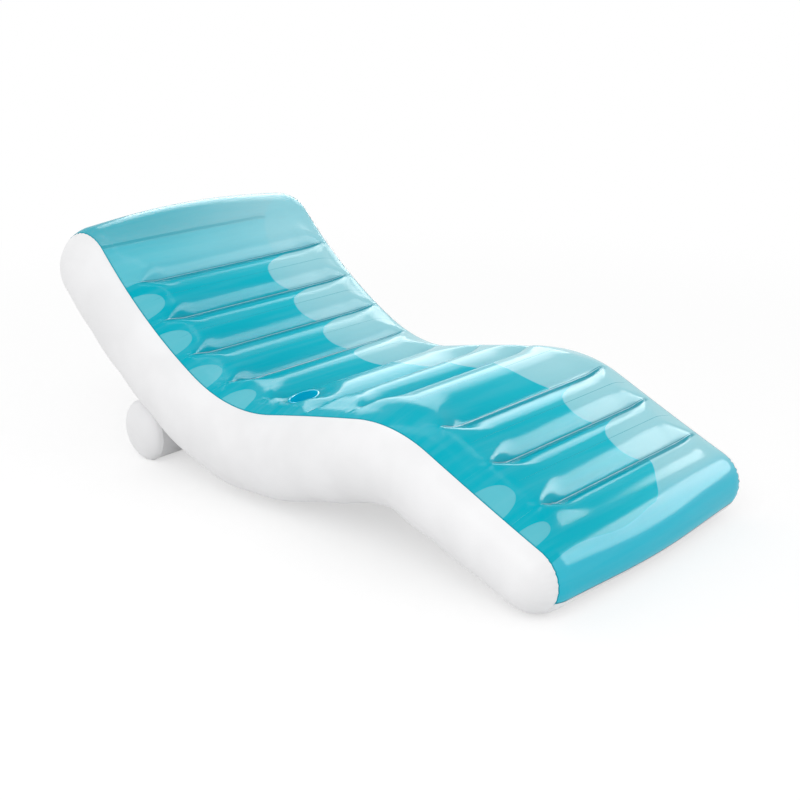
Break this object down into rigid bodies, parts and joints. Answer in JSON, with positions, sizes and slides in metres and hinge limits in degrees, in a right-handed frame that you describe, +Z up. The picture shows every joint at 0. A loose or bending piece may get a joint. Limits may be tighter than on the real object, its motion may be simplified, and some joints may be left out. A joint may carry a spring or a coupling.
{
  "type": "inflatable pool chair",
  "caption": "Waved inflatable air lounge with a clear ribbed top sheet, white side walls, a recessed drink holder and a support roll under the back.",
  "frame": {"origin": "on the floor, under the middle of the chair's length and width", "axes": "+X from the head to the foot, +Y to the left of a person lying on it, +Z up"},
  "size_m": [1.6894, 0.8554, 0.6122],
  "materials": {
    "white_film": "satin white vinyl film",
    "teal_film": "glossy clear teal vinyl film",
    "clear_blue_film": "glossy clear blue vinyl film",
    "clear_valve": "clear moulded soft vinyl"
  },
  "bodies": {
    "float": {"top_sheet": "teal_film", "bottom_sheet": "white_film", "side_wall_right": "white_film", "side_wall_left": "white_film", "baffle_01": "white_film", "baffle_02": "white_film", "baffle_03": "white_film", "baffle_04": "white_film", "baffle_05": "white_film", "baffle_06": "white_film", "baffle_07": "white_film", "baffle_08": "white_film", "baffle_09": "white_film", "baffle_10": "white_film", "cup_sleeve": "clear_blue_film", "cup_floor": "clear_blue_film", "roll_tube": "white_film", "roll_cap_right": "white_film", "roll_cap_left": "white_film", "roll_web": "white_film", "main_valve_base": "clear_valve", "roll_valve_base": "clear_valve"},
    "main_stem": {"main_valve_stem": "clear_valve"},
    "main_stopper": {"main_valve_stopper": "clear_valve"},
    "roll_stem": {"roll_valve_stem": "clear_valve"},
    "roll_stopper": {"roll_valve_stopper": "clear_valve"}
  },
  "joints": [
    {"name": "main_stem_slide", "type": "slide", "parent": "float", "child": "main_stem", "axis": [-0.7256, 0, -0.6881], "range_m": [0, 0.011]},
    {"name": "main_stopper_hinge", "type": "hinge", "parent": "main_stem", "child": "main_stopper", "pos_m": [-0.76821, 0.0875, 0.36702], "axis": [0.6881, 0, -0.7256], "range_deg": [0, 150]},
    {"name": "roll_stem_slide", "type": "slide", "parent": "float", "child": "roll_stem", "axis": [0, 1, 0], "range_m": [0, 0.011]},
    {"name": "roll_stopper_hinge", "type": "hinge", "parent": "roll_stem", "child": "roll_stopper", "pos_m": [-0.56597, 0.38073, 0.08094], "axis": [0, 0, 1], "range_deg": [0, 150]}
  ]
}
